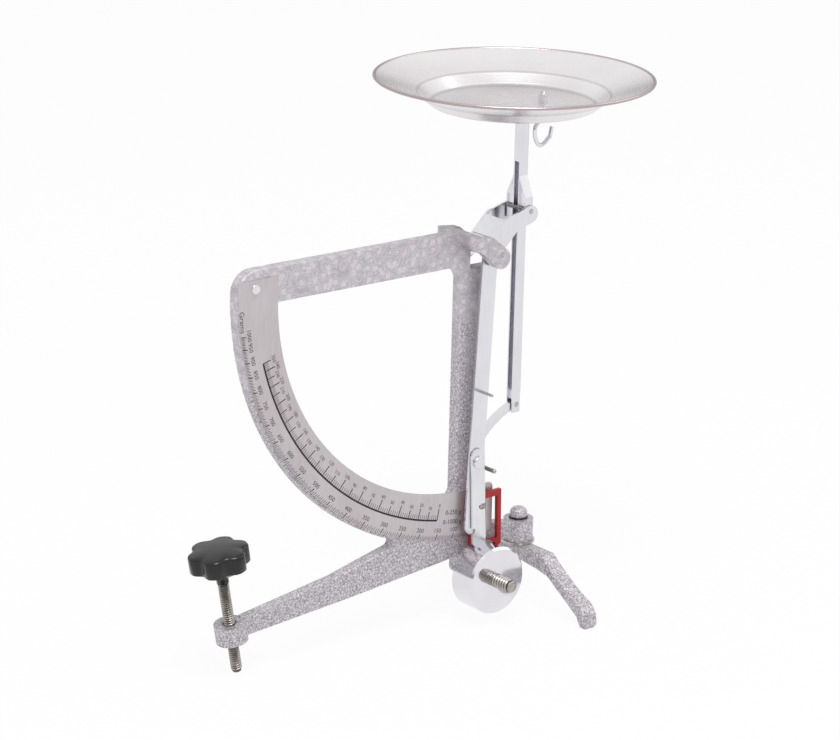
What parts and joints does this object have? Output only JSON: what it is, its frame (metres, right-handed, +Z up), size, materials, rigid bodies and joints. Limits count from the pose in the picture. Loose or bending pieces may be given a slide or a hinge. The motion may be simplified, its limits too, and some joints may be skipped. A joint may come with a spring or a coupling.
{
  "type": "lever balance",
  "caption": "Bench lever balance: quadrant frame, pendulum beam with a swing-over counterweight, dished pan on a level-keeping stem, red index cursor, star knob screw and swivel legs.",
  "frame": {"origin": "centre of the bounding box on the bench the balance stands on", "axes": "+X along the quadrant towards the pan, +Y to the back of the quadrant (the dial faces -Y), +Z up"},
  "size_m": [0.2812, 0.15, 0.2958],
  "materials": {
    "hammer_enamel": "silver hammered enamel",
    "scale_metal": "satin, with a printed dial",
    "plain_steel": "plain steel",
    "chrome_steel": "polished plate",
    "spun_pan": "bright spun",
    "black_knob": "moulded black",
    "red_cursor": "moulded red",
    "black_ring": "black ring"
  },
  "bodies": {
    "frame": {"frame_casting": "hammer_enamel", "scale_plate": "scale_metal", "scale_rivet_upper": "plain_steel", "scale_rivet_lower": "plain_steel", "main_pivot_pin": "plain_steel", "front_spacer": "plain_steel", "back_spacer": "plain_steel", "link_pivot_pin": "plain_steel", "stop_pin": "plain_steel", "swivel_rivet": "plain_steel", "swivel_ring": "black_ring", "swivel_washer": "plain_steel"},
    "beam": {"beam_lever": "chrome_steel", "pivot_sleeve": "plain_steel", "stem_pivot_pin": "plain_steel", "range_rivet": "plain_steel", "upper_peg": "plain_steel", "lower_peg": "plain_steel", "cursor_frame": "red_cursor", "cursor_line": "plain_steel"},
    "weight": {"weight_arm": "chrome_steel", "counterweight": "chrome_steel", "trim_stud": "plain_steel"},
    "pan_carrier": {"pan_stem": "chrome_steel", "pan_seat": "chrome_steel", "weighing_pan": "spun_pan", "load_hook": "chrome_steel", "pan_nut": "plain_steel", "link_end_pin": "plain_steel"},
    "stay": {"stay_link": "chrome_steel"},
    "screw": {"levelling_screw": "plain_steel"},
    "knob": {"star_knob": "black_knob"},
    "legs": {"swivel_legs": "hammer_enamel"}
  },
  "joints": [
    {"name": "beam_swing", "type": "hinge", "parent": "frame", "child": "beam", "pos_m": [0.0463, 0, 0.2041], "axis": [0, 1, 0], "range_deg": [-1.1, 84.5]},
    {"name": "stem_on_beam", "type": "hinge", "parent": "beam", "child": "pan_carrier", "pos_m": [0.072, 0, 0.2227], "axis": [0, 1, 0], "range_deg": [-84.5, 1.1]},
    {"name": "stay_on_post", "type": "hinge", "parent": "frame", "child": "stay", "pos_m": [0.0463, 0, 0.0944], "axis": [0, 1, 0], "range_deg": [-1.1, 84.5]},
    {"name": "range_change", "type": "hinge", "parent": "beam", "child": "weight", "pos_m": [0.03905, 0, 0.08849], "axis": [0, 1, 0], "range_deg": [0, 179]},
    {"name": "screw_travel", "type": "slide", "parent": "frame", "child": "screw", "axis": [-0.1822, 0, 0.9833], "range_m": [-0.008, 0.008]},
    {"name": "knob_turn", "type": "hinge", "parent": "screw", "child": "knob", "pos_m": [-0.1169, 0, 0.0231], "axis": [-0.1822, 0, 0.9833], "range_deg": [-2880, 2880]},
    {"name": "legs_swivel", "type": "hinge", "parent": "frame", "child": "legs", "pos_m": [0.0783, 0, 0.0261], "axis": [0, 0, 1], "range_deg": [0, 90]}
  ],
  "couplings": [
    {"joint": "stem_on_beam", "follows": "beam_swing", "ratio": -1},
    {"joint": "stay_on_post", "follows": "beam_swing", "ratio": 1},
    {"joint": "screw_travel", "follows": "knob_turn", "m_per_rad": 0.00015915}
  ]
}
